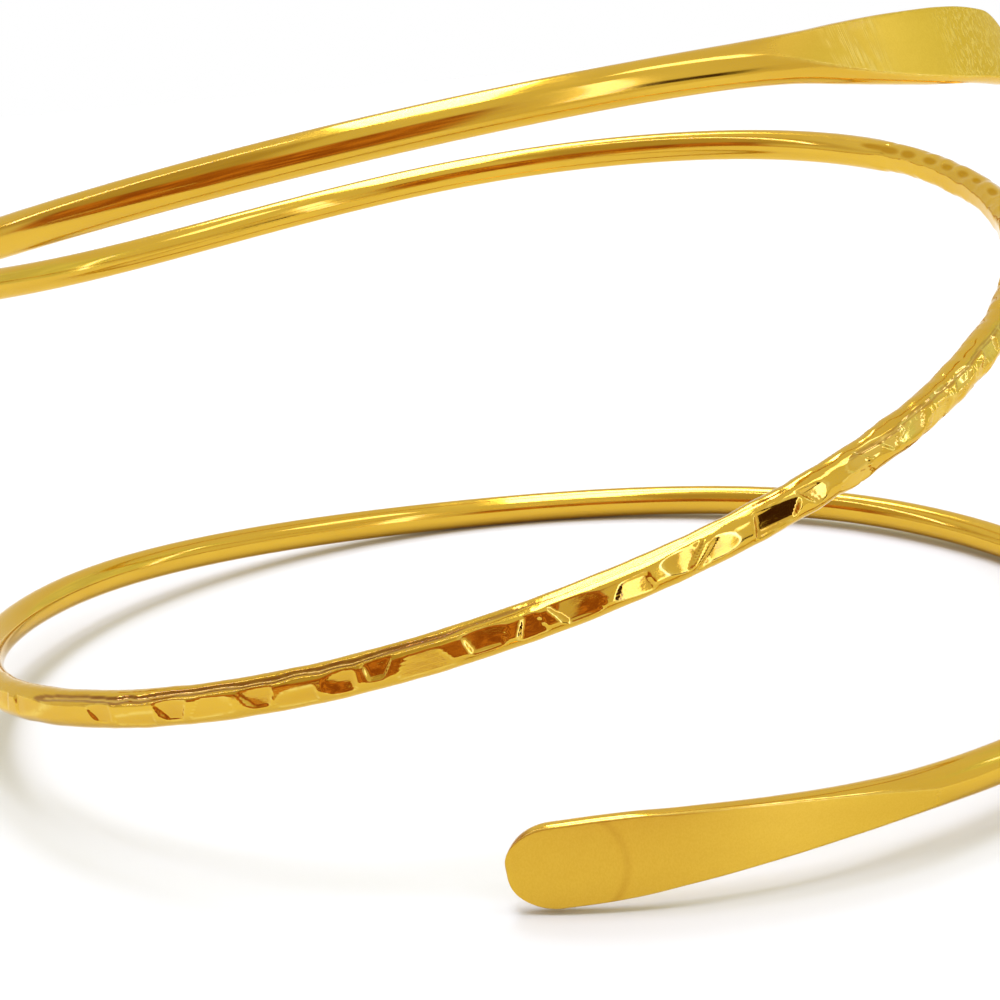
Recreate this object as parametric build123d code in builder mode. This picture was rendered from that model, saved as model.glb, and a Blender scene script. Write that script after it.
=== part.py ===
from build123d import *
import math
import os

# Driving dimensions, in millimetres unless the name says otherwise.

# The coil: where the middle of the wire runs, from the upper tip to the lower one.
coil_radius = 40.0
coil_rise = 46.6
first_turn = 0.062  # in turns, from the right-hand side round by the front
coil_turns = 2.213
lean_back = 0.24  # how far each turn sits behind the one below, as a share of the rise
lean_left = 0.07

# The round wire.
wire_diameter = 2.5

# The two flattened ends.
upper_paddle_length = 25.0
lower_paddle_length = 26.0
upper_tip_length = 3.6
lower_tip_length = 3.0
paddle_width = 5.2
paddle_thickness = 1.1
upper_face_turn = 16.0  # degrees that the outer face of the paddle looks up
lower_face_turn = 2.0

# The hammered stretch, in turns, and the metal that is left there.
hammered_from_turn = 0.92
hammered_to_turn = 1.43
hammered_diameter = 2.44
anvil_flat = 0.95  # from the middle of the wire to the flat on the inside

# The hammer dents, one above and the next below the middle of the outside.
dent_step = 3.0
dent_length = 4.4
dent_depth = 0.22
dent_end_share = 0.35  # the sloping end of a dent, as a share of half its length
upper_dent_angle = 16.0  # degrees above straight out
lower_dent_angle = -20.0

# How far the coil tips, in degrees, to rest on its lowest turn and its lower tip.
rest_roll = 6.82
rest_pitch = 2.29
seat_tolerance = 0.01  # millimetres, for finding the lowest point

# How finely the sections are laid along and around the wire.
section_step = 9.0
ring_step = 0.9
hammered_sides = 18
round_thinness = 0.999  # keeps the four arcs of a round section apart
round_corner = 60.0  # where the arcs of a round section meet, in degrees
flat_corner = 85.0
tip_overlap = 0.15

# The bends of the coil, at even steps of turn.
# distance: from the middle of the coil, as a share of coil_radius.
# height: over the lowest bend, as a share of coil_rise.
coil_bends = [
    {"distance": 1.066, "height": 0.898},
    {"distance": 0.994, "height": 1.000},
    {"distance": 0.991, "height": 0.971},
    {"distance": 0.990, "height": 0.871},
    {"distance": 0.988, "height": 0.777},
    {"distance": 0.987, "height": 0.775},
    {"distance": 0.986, "height": 0.728},
    {"distance": 0.985, "height": 0.614},
    {"distance": 0.988, "height": 0.468},
    {"distance": 0.996, "height": 0.360},
    {"distance": 1.003, "height": 0.310},
    {"distance": 1.006, "height": 0.265},
    {"distance": 1.008, "height": 0.155},
    {"distance": 1.010, "height": 0.069},
    {"distance": 1.010, "height": 0.000},
    {"distance": 1.007, "height": 0.052},
    {"distance": 1.004, "height": 0.108},
]

# A flattened end, from its tip to the round wire.
# along: from the tip, as a share of the paddle's length.
# spread: 0 is as wide as the wire, 1 is paddle_width.
# press: 0 is as thick as the wire, 1 is paddle_thickness.
paddle_rows = [
    {"along": 0.00, "spread": 1.00, "press": 1.00},
    {"along": 0.20, "spread": 1.00, "press": 1.00},
    {"along": 0.40, "spread": 0.73, "press": 0.94},
    {"along": 0.62, "spread": 0.42, "press": 0.76},
    {"along": 0.84, "spread": 0.13, "press": 0.36},
]

# Worked out from the sizes above.
round_thickness = wire_diameter * round_thinness
hammered_radius = hammered_diameter / 2


def bend_point(row, bend):
    """Where the middle of the wire passes at one row of coil_bends."""
    turn = first_turn + coil_turns * row / (len(coil_bends) - 1)
    angle = 2 * math.pi * turn
    height = coil_rise * (bend["height"] - 0.5)
    distance = coil_radius * bend["distance"]
    return (
        distance * math.cos(angle) - lean_left * height,
        lean_back * height - distance * math.sin(angle),
        height,
    )


with BuildLine() as coil_line:
    Spline(*[bend_point(row, bend) for row, bend in enumerate(coil_bends)])

path = coil_line.edge()
wire_length = path.length


def length_at(turn):
    """The length of wire from the upper tip to a turn of the coil."""
    return wire_length * (turn - first_turn) / coil_turns


def wire_plane(along, face_turn=0.0):
    """A plane across the wire, with x down the coil and y out from its middle."""
    point = path.position_at(along, position_mode=PositionMode.LENGTH)
    ahead = path.tangent_at(along, position_mode=PositionMode.LENGTH)
    middle = Vector(-lean_left * point.Z, lean_back * point.Z, point.Z)
    downward = (point - middle).cross(ahead).normalized()
    return Plane(origin=point, x_dir=downward, z_dir=ahead).rotated((0, 0, face_turn))


def oval(along, width, thickness, flatness, face_turn=0.0):
    """A section of the wire in four arcs: two broad faces and two round edges."""
    half_width = width / 2
    half_thick = thickness / 2
    corner = round_corner + (flat_corner - round_corner) * flatness
    cosine = math.cos(math.radians(corner))
    sine = math.sin(math.radians(corner))
    edge_radius = (half_thick * cosine - half_width * (1 - sine)) / (sine + cosine - 1)
    face_radius = (half_width - edge_radius * (1 - cosine)) / cosine
    edge_centre = half_width - edge_radius
    face_centre = half_thick - face_radius
    with BuildSketch(wire_plane(along, face_turn)) as section:
        with BuildLine():
            CenterArc((edge_centre, 0), edge_radius, -corner, 2 * corner)
            CenterArc((0, face_centre), face_radius, corner, 180 - 2 * corner)
            CenterArc((-edge_centre, 0), edge_radius, 180 - corner, 2 * corner)
            CenterArc((0, -face_centre), face_radius, 180 + corner, 180 - 2 * corner)
        make_face()
    return section.sketch.face()


def paddle_oval(row, along, face_turn):
    """The section of a flattened end at one row of paddle_rows."""
    width = wire_diameter + (paddle_width - wire_diameter) * row["spread"]
    thickness = round_thickness + (paddle_thickness - round_thickness) * row["press"]
    return oval(along, width, thickness, row["press"], face_turn * row["press"])


def round_run(start, end):
    """Round sections between two lengths of wire, both ends included."""
    count = max(1, math.ceil((end - start) / section_step))
    for number in range(count + 1):
        along = start + (end - start) * number / count
        yield oval(along, wire_diameter, round_thickness, 0)


def hammered_reach(along, angle):
    """How far the hammered metal reaches at an angle above straight out."""
    reach = hammered_radius
    facing_in = -math.cos(math.radians(angle))
    if facing_in > 0:
        reach = min(reach, anvil_flat / facing_in)
    nearest = round((along - hammered_start) / dent_step)
    for number in range(nearest - 1, nearest + 2):
        dent_angle = upper_dent_angle if number % 2 else lower_dent_angle
        facing_dent = math.cos(math.radians(angle - dent_angle))
        from_middle = abs(along - hammered_start - number * dent_step) / (dent_length / 2)
        depth = dent_depth * min(1, (1 - from_middle) / dent_end_share)
        if facing_dent > 0 and depth > 0:
            reach = min(reach, (hammered_radius - depth) / facing_dent)
    return reach


def hammered_ring(along):
    """A many-sided section of the hammered stretch."""
    corners = []
    for side in range(hammered_sides):
        angle = 360 * side / hammered_sides
        reach = hammered_reach(along, angle)
        corners.append((-reach * math.sin(math.radians(angle)), reach * math.cos(math.radians(angle))))
    return wire_plane(along) * make_face(Polyline(*corners, close=True))


def tip_plane(tip, direction, face_turn):
    """A plane on the face of a flattened end, with x from its tip along the wire."""
    across = wire_plane(tip, face_turn)
    return Plane(origin=across.origin, x_dir=across.z_dir * direction, z_dir=across.y_dir)


hammered_start = length_at(hammered_from_turn)
hammered_end = length_at(hammered_to_turn)
hammered_length = hammered_end - hammered_start
ring_count = math.ceil(hammered_length / ring_step)

upper_sections = [
    paddle_oval(row, row["along"] * upper_paddle_length, upper_face_turn) for row in paddle_rows
]
upper_sections.extend(round_run(upper_paddle_length, hammered_start))

hammered_sections = [
    hammered_ring(hammered_start + hammered_length * ring / ring_count)
    for ring in range(ring_count + 1)
]

lower_sections = list(round_run(hammered_end, wire_length - lower_paddle_length))
for row in reversed(paddle_rows):
    along = wire_length - row["along"] * lower_paddle_length
    lower_sections.append(paddle_oval(row, along, lower_face_turn))

# One length of wire: smooth above, hammered at the front, smooth below, with round tips.
with BuildPart() as coil_wire:
    loft(upper_sections)
    loft(lower_sections)
    for tip, direction, tip_length, face_turn in (
        (0, 1, upper_tip_length, upper_face_turn),
        (wire_length, -1, lower_tip_length, lower_face_turn),
    ):
        with BuildSketch(tip_plane(tip, direction, face_turn)):
            Rectangle(2 * tip_length, 2 * paddle_width)
            with Locations((tip_length, 0)):
                Ellipse(tip_length, paddle_width / 2 + tip_overlap, mode=Mode.SUBTRACT)
    extrude(amount=wire_diameter, both=True, mode=Mode.SUBTRACT)
    loft(hammered_sections, ruled=True, clean=False)

# The coil stands on its lowest turn and its lower tip, over the origin.
tip_right = math.tan(math.radians(rest_roll))
tip_front = math.tan(math.radians(rest_pitch))
resting = Plane(origin=(0, 0, 0), x_dir=(1, 0, -tip_right), z_dir=(tip_right, -tip_front, 1))
standing_coil = resting.to_local_coords(coil_wire.part)
box = standing_coil.bounding_box()
# The lowest point comes from a fine mesh, because the box around curved faces is loose.
mesh_points = standing_coil.tessellate(seat_tolerance)[0]
lowest_point = min(point.Z for point in mesh_points)
standing_coil = Pos(-box.center().X, -box.center().Y, -lowest_point) * standing_coil
standing_coil.label = "coil_wire"

os.makedirs("parts", exist_ok=True)
export_step(standing_coil, "parts/coil_wire.step")
print(f"wire length {wire_length:.1f} mm, volume {standing_coil.volume:.0f} mm3")
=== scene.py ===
import math

import bpy
import numpy as np
from mathutils import Matrix, Vector


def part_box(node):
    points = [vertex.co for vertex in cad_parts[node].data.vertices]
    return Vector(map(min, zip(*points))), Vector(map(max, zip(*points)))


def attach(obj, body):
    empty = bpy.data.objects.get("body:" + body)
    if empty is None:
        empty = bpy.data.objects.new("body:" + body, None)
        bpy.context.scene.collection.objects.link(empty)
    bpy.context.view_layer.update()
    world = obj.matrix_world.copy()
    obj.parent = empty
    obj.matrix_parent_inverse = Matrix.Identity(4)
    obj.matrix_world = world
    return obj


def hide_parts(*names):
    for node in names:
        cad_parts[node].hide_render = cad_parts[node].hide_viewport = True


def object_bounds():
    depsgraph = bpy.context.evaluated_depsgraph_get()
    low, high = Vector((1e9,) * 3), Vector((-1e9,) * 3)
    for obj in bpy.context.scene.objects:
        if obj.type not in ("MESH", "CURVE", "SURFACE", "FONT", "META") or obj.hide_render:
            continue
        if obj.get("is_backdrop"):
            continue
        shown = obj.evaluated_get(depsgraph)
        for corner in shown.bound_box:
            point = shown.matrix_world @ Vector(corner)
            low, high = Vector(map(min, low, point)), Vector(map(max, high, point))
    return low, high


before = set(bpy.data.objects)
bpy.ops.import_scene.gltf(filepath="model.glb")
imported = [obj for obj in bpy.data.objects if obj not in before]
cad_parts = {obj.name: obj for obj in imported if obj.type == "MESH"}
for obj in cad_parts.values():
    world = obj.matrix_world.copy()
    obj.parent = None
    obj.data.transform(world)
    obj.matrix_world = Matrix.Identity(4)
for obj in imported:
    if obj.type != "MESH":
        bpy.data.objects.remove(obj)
cadBounds = [list(corner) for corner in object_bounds()]
mm = 0.001  # every size below is in millimetres, and Blender works in metres

floatSocket = "NodeSocketFloat"
vectorSocket = "NodeSocketVector"
geometrySocket = "NodeSocketGeometry"
materialSocket = "NodeSocketMaterial"


# Short ways to add, feed and join nodes, in geometry and shader trees alike
def feed(tree, socket, value):
    if isinstance(value, bpy.types.NodeSocket):
        tree.links.new(value, socket)
    elif value is not None:
        socket.default_value = value


def addNode(tree, kind, inputs=None, **settings):
    node = tree.nodes.new(kind)
    for name, value in settings.items():
        setattr(node, name, value)
    for name, value in (inputs or {}).items():
        feed(tree, node.inputs[name], value)
    return node


def calc(tree, operation, *values, clamp=False):
    node = addNode(tree, "ShaderNodeMath", operation=operation, use_clamp=clamp)
    for socket, value in zip(node.inputs, values):
        feed(tree, socket, value)
    return node.outputs[0]


def product(tree, *values):
    result = values[0]
    for value in values[1:]:
        result = calc(tree, "MULTIPLY", result, value)
    return result


def plus(tree, first, second):
    return calc(tree, "ADD", first, second)


def less(tree, first, second):
    return calc(tree, "SUBTRACT", first, second)


def apart(tree, first, second):
    return calc(tree, "ABSOLUTE", less(tree, first, second))


def oneMinus(tree, value):
    return less(tree, 1.0, value)


def negative(tree, value):
    return calc(tree, "MULTIPLY", value, -1.0)


def calcVector(tree, operation, *values, scale=None):
    node = addNode(tree, "ShaderNodeVectorMath", operation=operation)
    for socket, value in zip(node.inputs, values):
        feed(tree, socket, value)
    if scale is not None:
        feed(tree, node.inputs["Scale"], scale)
    return node.outputs["Vector"]


def split(tree, vector):
    return addNode(tree, "ShaderNodeSeparateXYZ", {"Vector": vector}).outputs


def join(tree, x, y, z=None):
    return addNode(tree, "ShaderNodeCombineXYZ", {"X": x, "Y": y, "Z": z}).outputs[0]


def remap(tree, value, fromLow, fromHigh, toLow=0.0, toHigh=1.0, kind="LINEAR"):
    node = addNode(
        tree, "ShaderNodeMapRange",
        {"Value": value, "From Min": fromLow, "From Max": fromHigh, "To Min": toLow, "To Max": toHigh},
        interpolation_type=kind,
    )
    return node.outputs["Result"]


def fade(tree, value, fromLow, fromHigh, toLow=0.0, toHigh=1.0):
    # a remap with soft ends
    return remap(tree, value, fromLow, fromHigh, toLow, toHigh, "SMOOTHSTEP")


def shareCurve(tree, value, rows):
    node = addNode(tree, "ShaderNodeFloatCurve", {"Value": value})
    points = node.mapping.curves[0].points
    points[0].location = rows[0]
    points[1].location = rows[-1]
    for row in rows[1:-1]:
        points.new(*row)
    node.mapping.update()
    return node.outputs["Value"]


def newGroup(name, kind, inputs, outputs):
    # an input is given as its usual number, or as the kind of socket where it is something else
    group = bpy.data.node_groups.new(name, kind)
    for label, value in inputs.items():
        socketKind = value if isinstance(value, str) else floatSocket
        socket = group.interface.new_socket(label, in_out="INPUT", socket_type=socketKind)
        if socketKind == floatSocket:
            socket.default_value = value
    for label, socketKind in outputs.items():
        group.interface.new_socket(label, in_out="OUTPUT", socket_type=socketKind)
    given = group.nodes.new("NodeGroupInput").outputs
    result = group.nodes.new("NodeGroupOutput").inputs
    return group, given, result


def placeGroup(tree, group, **inputs):
    kind = "ShaderNodeGroup" if group.bl_idname == "ShaderNodeTree" else "GeometryNodeGroup"
    return addNode(tree, kind, inputs, node_tree=group).outputs


# The line that the wire follows, from the upper tip to the lower one
coil = {
    "radius": 40.0,
    "rise": 46.6,
    "firstTurn": 0.062,  # in turns, from the right-hand side round by the front
    "turns": 2.213,
    "leanBack": 0.24,    # how far each turn sits behind the one below, as a share of the rise
    "leanLeft": 0.07,
    "restRoll": 6.82,    # degrees, how it tips to stand by itself
    "restPitch": 2.29,
    "pathStep": 0.1,
    "fineSteps": 40000,  # for measuring the line's length
}

# The bends, as in the part's source: distance from the middle and height, as shares of radius
# and rise. A separate program fitted them to the wire's outline in the photograph.
coilBends = [
    (1.066, 0.898), (0.994, 1.000), (0.991, 0.971), (0.990, 0.871), (0.988, 0.777),
    (0.987, 0.775), (0.986, 0.728), (0.985, 0.614), (0.988, 0.468), (0.996, 0.360),
    (1.003, 0.310), (1.006, 0.265), (1.008, 0.155), (1.010, 0.069), (1.010, 0.000),
    (1.007, 0.052), (1.004, 0.108),
]


def bendPoint(row):
    distance, share = coilBends[row]
    angle = 2 * math.pi * (coil["firstTurn"] + coil["turns"] * row / (len(coilBends) - 1))
    height = coil["rise"] * (share - 0.5)
    reach = coil["radius"] * distance
    return (
        reach * math.cos(angle) - coil["leanLeft"] * height,
        coil["leanBack"] * height - reach * math.sin(angle),
        height,
    )


def smoothLine(points, step):
    # one cubic through all the bends, then points at even steps of its length
    knots = np.concatenate([[0], np.cumsum(np.linalg.norm(np.diff(points, axis=0), axis=1))])
    gaps = np.diff(knots)
    slopes = np.diff(points, axis=0) / gaps[:, None]
    count = len(points)
    matrix = np.zeros((count, count))
    right = np.zeros((count, 3))
    for row in range(1, count - 1):
        matrix[row, row - 1: row + 2] = gaps[row - 1], 2 * (gaps[row - 1] + gaps[row]), gaps[row]
        right[row] = 6 * (slopes[row] - slopes[row - 1])
    matrix[0, :3] = gaps[1], -(gaps[0] + gaps[1]), gaps[0]
    matrix[-1, -3:] = gaps[-1], -(gaps[-1] + gaps[-2]), gaps[-2]
    curvature = np.linalg.solve(matrix, right)

    fine = np.linspace(0, knots[-1], coil["fineSteps"] + 1)
    piece = np.clip(np.searchsorted(knots, fine, side="right") - 1, 0, count - 2)
    before = (fine - knots[piece])[:, None]
    after = (knots[piece + 1] - fine)[:, None]
    gap = gaps[piece][:, None]
    line = (
        curvature[piece] * after ** 3 / (6 * gap)
        + curvature[piece + 1] * before ** 3 / (6 * gap)
        + (points[piece] / gap - curvature[piece] * gap / 6) * after
        + (points[piece + 1] / gap - curvature[piece + 1] * gap / 6) * before
    )
    run = np.concatenate([[0], np.cumsum(np.linalg.norm(np.diff(line, axis=0), axis=1))])
    even = np.linspace(0, run[-1], round(run[-1] / step) + 1)
    return np.column_stack([np.interp(even, run, line[:, axis]) for axis in range(3)]), run[-1]


linePoints, wireLength = smoothLine(
    np.array([bendPoint(row) for row in range(len(coilBends))]), coil["pathStep"]
)
curve = bpy.data.curves.new("wireLine", "CURVE")
curve.dimensions = "3D"
spline = curve.splines.new("POLY")
spline.points.add(len(linePoints) - 1)
spline.points.foreach_set("co", np.column_stack([linePoints * mm, np.ones(len(linePoints))]).ravel())
wireLine = bpy.data.objects.new("wireLine", curve)
bpy.context.collection.objects.link(wireLine)
print(f"wire line: {wireLength:.1f} mm, {len(linePoints)} points")

hammer = {
    "fromTurn": 0.92,
    "toTurn": 1.43,
    "startFade": (-2.5, 1.0),  # from no hammering to all of it, in mm after its start
    "endFade": (-4.0, 1.0),    # the same in mm before its end
    "radius": 1.22,
    "flatSoftness": 0.05,      # of the edges of the long flats
    "wallSlope": 1.3,
    "ridgeSoftness": 0.018,    # of the edges of the blows
    "ridgeBand": 0.05,         # how near to an edge the metal is rubbed
    "bowlLimit": 2.0,          # square mm round a blow's middle, where its floor is hollow
    "leastFacing": 0.05,       # keeps a flat from running far out round the back of the wire
    "waviness": 0.05,
    "waveSize": 2.2,
    "waveSpan": (60.0, 80.0),  # the outline goes from wavier on the right to calmer on the left
    "waveShares": (3.0, 0.7),
    "ripple": 0.018,
    "rippleSize": 0.8,
    "rippleSeed": 20.0,
    "noiseRoughness": 0.4,
    "noiseSpan": (0.3, 0.7),   # where the noise mostly lies
    "wavinessSeed": 7.0,
}


def lengthAt(turn):
    return wireLength * (turn - coil["firstTurn"]) / coil["turns"]


hammeredStart = lengthAt(hammer["fromTurn"])
hammeredEnd = lengthAt(hammer["toTurn"])


def angleFrom(tree, around, degrees):
    # how far round the wire a place is from an angle, by the short way
    turned = less(tree, around, calc(tree, "RADIANS", degrees))
    return calc(tree, "WRAP", turned, math.pi, -math.pi)


def makeHammerBlow():
    # a flat sunk in the metal, with short steep walls
    tree, given, result = newGroup(
        "hammerBlow", "GeometryNodeTree",
        {
            "Reach": 1.0, "Ridge": 0.0, "Along": 0.0, "Around": 0.0, "Blow Along": 0.0,
            "Blow Around": 0.0, "Length": 2.0, "Lean Ahead": 0.0, "Lean Behind": 0.0, "Top": 3.0,
            "Bottom": 3.0, "Depth": 0.2, "Tip": 0.0, "Turn": 0.0, "Bowl": 0.05, "Ahead Slope": 1.2,
            "Wall Slope": hammer["wallSlope"], "Ridge Softness": hammer["ridgeSoftness"],
            "Wire Radius": hammer["radius"],
        },
        {"Reach": floatSocket, "Ridge": floatSocket},
    )
    x = less(tree, given["Along"], given["Blow Along"])
    angle = angleFrom(tree, given["Around"], given["Blow Around"])
    y = product(tree, angle, given["Wire Radius"])
    turn = calc(tree, "RADIANS", given["Turn"])
    slope = calc(tree, "TANGENT", calc(tree, "RADIANS", given["Tip"]))
    near = calc(tree, "MINIMUM", x, given["Length"])
    near = calc(tree, "MAXIMUM", near, negative(tree, given["Length"]))
    distance = less(tree, given["Wire Radius"], given["Depth"])
    distance = product(tree, distance, calc(tree, "COSINE", turn))
    height = calc(tree, "MULTIPLY_ADD", near, slope, distance)
    facing = calc(tree, "COSINE", less(tree, angle, turn))
    facing = calc(tree, "MAXIMUM", facing, hammer["leastFacing"])
    fromMiddle = plus(tree, product(tree, near, near), product(tree, y, y))
    fromMiddle = calc(tree, "MINIMUM", fromMiddle, hammer["bowlLimit"])
    bowl = product(tree, fromMiddle, product(tree, given["Bowl"], 0.5))
    floor = plus(tree, calc(tree, "DIVIDE", height, facing), bowl)
    half = product(tree, given["Length"], 0.5)
    ahead = less(tree, x, calc(tree, "MULTIPLY_ADD", y, given["Lean Ahead"], half))
    behind = calc(tree, "MULTIPLY_ADD", y, given["Lean Behind"], half)
    behind = less(tree, negative(tree, x), behind)
    above = less(tree, y, given["Top"])
    below = less(tree, negative(tree, y), given["Bottom"])
    outside = calc(tree, "MAXIMUM", behind, calc(tree, "MAXIMUM", above, below))
    wall = product(tree, outside, given["Wall Slope"])
    wall = calc(tree, "MAXIMUM", wall, product(tree, ahead, given["Ahead Slope"]))
    dent = plus(tree, floor, calc(tree, "MAXIMUM", wall, 0.0))
    ridge = remap(tree, apart(tree, given["Reach"], dent), 0.0, hammer["ridgeBand"], 1.0, 0.0)
    feed(tree, result["Reach"], calc(tree, "SMOOTH_MIN", given["Reach"], dent, given["Ridge Softness"]))
    feed(tree, result["Ridge"], calc(tree, "MAXIMUM", given["Ridge"], ridge))
    return tree


def makeSoftDent():
    # a small round dent with a soft rim
    tree, given, result = newGroup(
        "softDent", "GeometryNodeTree",
        {
            "Along": 0.0, "Around": 0.0, "Dent Along": 0.0, "Dent Around": 0.0,
            "Length": 1.0, "Height": 0.5, "Wire Radius": hammer["radius"],
        },
        {"Factor": floatSocket},
    )
    x = less(tree, given["Along"], given["Dent Along"])
    angle = angleFrom(tree, given["Around"], given["Dent Around"])
    y = product(tree, angle, given["Wire Radius"])
    shares = []
    for offset, size in ((x, "Length"), (y, "Height")):
        share = calc(tree, "DIVIDE", product(tree, offset, 2.0), given[size])
        shares.append(product(tree, share, share))
    feed(tree, result["Factor"], calc(tree, "EXPONENT", negative(tree, plus(tree, *shares))))
    return tree


hammerBlow = makeHammerBlow()
softDent = makeSoftDent()

# Each blow: where along the hammered stretch and how high on the outside (degrees), its length
# at mid-height, how its two ends lean, how far it goes up and down before a wall, its depth,
# how the flat tips along the wire and turns around it (degrees), how steep its left wall is and
# how hollow its floor is, as the hammer's face is a little round. For 21 of them, corners picked
# by eye in the photograph were placed on the wire by a separate program, which also gave some tips
# and turns from what a flat reflects there. These were rounded and partly changed.
blows = [
    # along, around, length, leanAhead, leanBehind, top, bottom, depth, tip, turn, leftWall, bowl
    (126.0, 10, 5.0, 0.0, 0.0, 3.0, 3.0, 0.12, 2, 4, 1.3, 0.02),
    (119.5, 4, 5.0, 0.2, 0.0, 3.0, 3.0, 0.13, -2, 8, 1.3, 0.02),
    (112.2, 9, 1.8, 0.9, -0.1, 3.0, 0.62, 0.24, 0, -4, 0.9, 0.14),
    (109.2, -9, 3.2, 0.0, 0.2, 0.5, 3.0, 0.14, 1, -3, 1.3, 0.02),
    (106.1, 4, 1.8, 0.75, 0.45, 3.0, 0.66, 0.30, 0, -4, 0.75, 0.14),
    (103.0, 9, 2.4, -0.7, -0.3, 0.62, 3.0, 0.17, -1, -6, 1.3, 0.02),
    (99.9, 8, 1.7, 0.8, 0.35, 3.0, 0.62, 0.30, 0, -4, 0.7, 0.14),
    (97.4, -7, 2.3, -0.8, 0.0, 0.5, 3.0, 0.18, 1, -2, 1.3, 0.02),
    (94.7, 2, 1.8, 0.3, 0.1, 0.7, 0.66, 0.30, 4, -1, 0.6, 0.22),
    (92.3, 16, 1.2, 0.2, 0.7, 3.0, 0.56, 0.34, 3, -14, 0.62, 0.14),
    (89.6, -6, 2.6, -0.5, -0.5, 0.75, 3.0, 0.24, 0, 1, 1.3, 0.02),
    (85.8, 8, 2.2, 0.4, 0.5, 3.0, 0.62, 0.34, -2, -7, 0.45, 0.20),
    (83.2, -2, 1.2, -0.4, -0.3, 0.8, 3.0, 0.22, -2, 4, 0.7, 0.02),
    (80.2, 0, 2.6, 0.6, 0.65, 0.75, 0.62, 0.33, -4, -2, 0.8, 0.14),
    (77.2, -11, 2.2, -0.7, -0.2, 0.72, 3.0, 0.22, 4, 11, 1.0, 0.09),
    (74.3, 4, 2.1, 0.1, 0.95, 0.8, 0.6, 0.24, 6, 8, 0.9, 0.14),
    (71.1, 0, 2.6, -1.1, 0.1, 0.8, 3.0, 0.20, -6, 3, 1.0, 0.10),
    (67.6, 5, 2.8, -0.15, 0.65, 0.76, 0.66, 0.38, -5, -6, 1.3, 0.02),
    (64.6, 3, 1.3, 0.6, 0.8, 0.62, 0.60, 0.25, -13, 8, 1.2, 0.08),
    (61.8, -22, 2.4, -0.3, -0.35, 0.5, 3.0, 0.22, 3, -2, 1.3, 0.02),
    (61.6, 20, 1.6, 0.5, -0.4, 0.5, 0.4, 0.20, 6, -6, 0.9, 0.14),
    (59.8, 30, 1.7, 0.9, 1.1, 0.6, 0.5, 0.27, -6, -9, 0.8, 0.14),
    (58.4, 6, 0.6, 0.8, 0.8, 0.7, 0.6, 0.27, -8, 5, 0.7, 0.05),
    (56.6, 14, 2.4, -0.7, 0.7, 0.62, 0.58, 0.30, 4, -6, 0.8, 0.14),
    (54.2, -14, 1.4, 0.5, -0.5, 0.4, 3.0, 0.22, 6, -4, 0.9, 0.02),
    (53.0, 42, 1.5, -0.1, 0.3, 0.45, 0.35, 0.22, 3, -12, 0.8, 0.14),
    (52.4, -4, 2.2, 0.3, -0.4, 0.4, 3.0, 0.19, -5, 0, 1.0, 0.02),
    (50.1, 28, 1.9, -0.7, 0.8, 0.6, 0.5, 0.30, -4, -10, 0.8, 0.14),
    (48.4, -6, 1.6, 0.4, 0.6, 0.4, 3.0, 0.20, 5, -4, 1.0, 0.02),
    (46.4, 18, 2.0, -0.7, 0.4, 0.6, 0.6, 0.27, 3, 2, 0.8, 0.14),
    (42.6, 26, 2.6, 0.4, 0.2, 0.8, 0.6, 0.24, -3, 0, 1.0, 0.14),
    (38.9, 6, 2.4, -0.4, 0.2, 0.7, 3.0, 0.20, 2, 0, 1.3, 0.02),
    (35.0, 22, 2.6, 0.4, 0.5, 3.0, 0.6, 0.24, 0, 4, 1.0, 0.14),
    (31.2, 2, 2.6, -0.4, 0.2, 0.7, 3.0, 0.20, 3, -3, 1.3, 0.02),
    (27.4, 24, 2.4, 0.5, 0.4, 3.0, 0.6, 0.24, -2, 2, 1.0, 0.14),
    (23.6, 4, 2.4, -0.3, -0.3, 0.7, 3.0, 0.20, 0, 0, 1.3, 0.02),
    (19.8, 30, 2.2, 0.4, 0.4, 3.0, 0.6, 0.24, 2, 4, 1.0, 0.14),
    (16.0, 8, 2.4, -0.4, -0.2, 0.7, 3.0, 0.20, -2, 0, 1.3, 0.02),
    (12.2, 28, 2.2, 0.4, 0.4, 3.0, 0.6, 0.22, 0, 3, 1.0, 0.14),
    (8.4, 10, 2.4, -0.3, -0.3, 0.7, 3.0, 0.18, 2, 0, 1.3, 0.02),
    (4.6, 24, 2.2, 0.3, 0.3, 3.0, 0.6, 0.14, 0, 0, 1.0, 0.14),
]
blowInputs = (  # the columns of the table, as the inputs of a blow
    "Blow Along", "Blow Around", "Length", "Lean Ahead", "Lean Behind", "Top", "Bottom",
    "Depth", "Tip", "Turn", "Ahead Slope", "Bowl",
)

# Small soft dents along the inner edge of the back strand: along, around, length, height, depth.
# The first eight were placed from the photograph in the same way.
edgeDents = [
    (-1.6, 131, 2.2, 0.55, 0.05),
    (0.9, 129, 3.4, 0.85, 0.10),
    (3.6, 126, 2.6, 0.95, 0.13),
    (6.9, 123, 2.5, 0.90, 0.14),
    (9.7, 118, 2.3, 0.85, 0.14),
    (12.5, 113, 2.3, 0.90, 0.15),
    (15.0, 104, 1.9, 0.75, 0.12),
    (18.4, 96, 2.4, 0.90, 0.15),
    (22.6, 100, 2.2, 0.80, 0.14),
    (26.8, 104, 2.2, 0.80, 0.14),
]

# Winding creases where the hammer's edge slid: from and to along the stretch, how high they are
# on the outside at these two ends and how far they wander (degrees), in waves of what size, half
# width, depth, how much painted brown shade their sides get and how much painted highlight their bottom gets
creases = [
    # from, to, aroundFrom, aroundTo, wander, wave, width, depth, brown (painted shade), bright (painted
    # highlight)
    (82.0, 120.5, 68.0, 46.0, 14.0, 2.7, 0.25, 0.14, 0.90, 0.50),
    (62.0, 88.0, 68.0, 66.0, 5.0, 3.0, 0.12, 0.07, 0.70, 0.10),
    (34.0, 63.0, 40.0, 44.0, 18.0, 2.6, 0.15, 0.10, 0.55, 0.30),
]

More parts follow.
